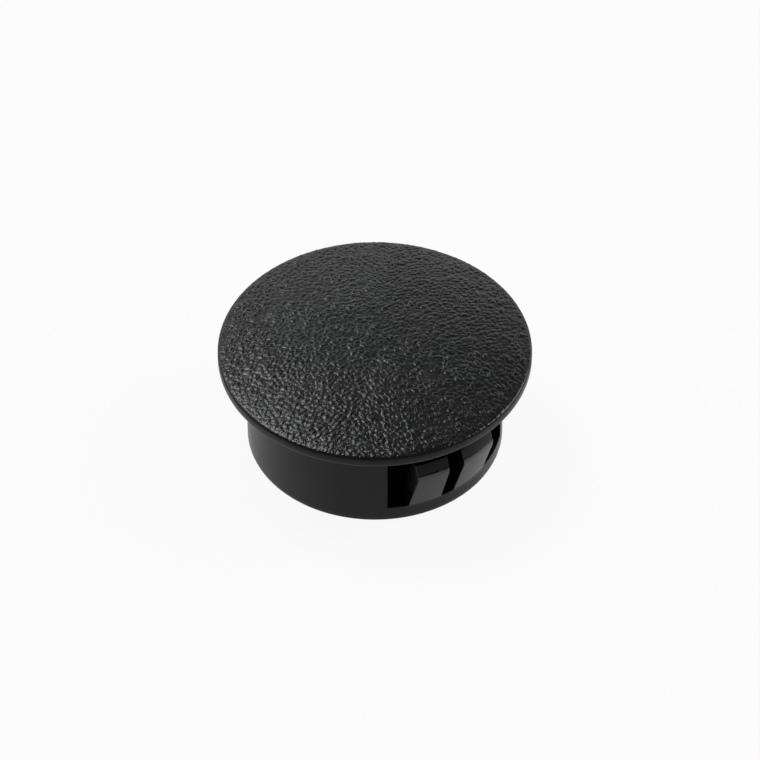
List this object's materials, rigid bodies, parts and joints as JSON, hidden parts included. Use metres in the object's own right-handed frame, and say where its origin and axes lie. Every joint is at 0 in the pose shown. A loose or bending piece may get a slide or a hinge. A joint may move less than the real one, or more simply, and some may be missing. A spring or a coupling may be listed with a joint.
{
  "type": "plastic hole plug",
  "caption": "Round snap-in hole plug with a low domed, grained head and a hollow skirt whose windows hold sprung retaining fingers.",
  "frame": {"origin": "centre of the head's flat underside, on the skirt's axis, in the plane of the panel's face", "axes": "+Z along the skirt's axis, out of the panel towards the domed head; the two windows with the fingers face +X and -X"},
  "size_m": [0.03, 0.03, 0.0123],
  "materials": {
    "moulded_nylon": "black moulded nylon, leather-grained on the head and smooth satin on the rim and skirt"
  },
  "bodies": {
    "root": {"hole_plug": "moulded_nylon"}
  },
  "joints": []
}
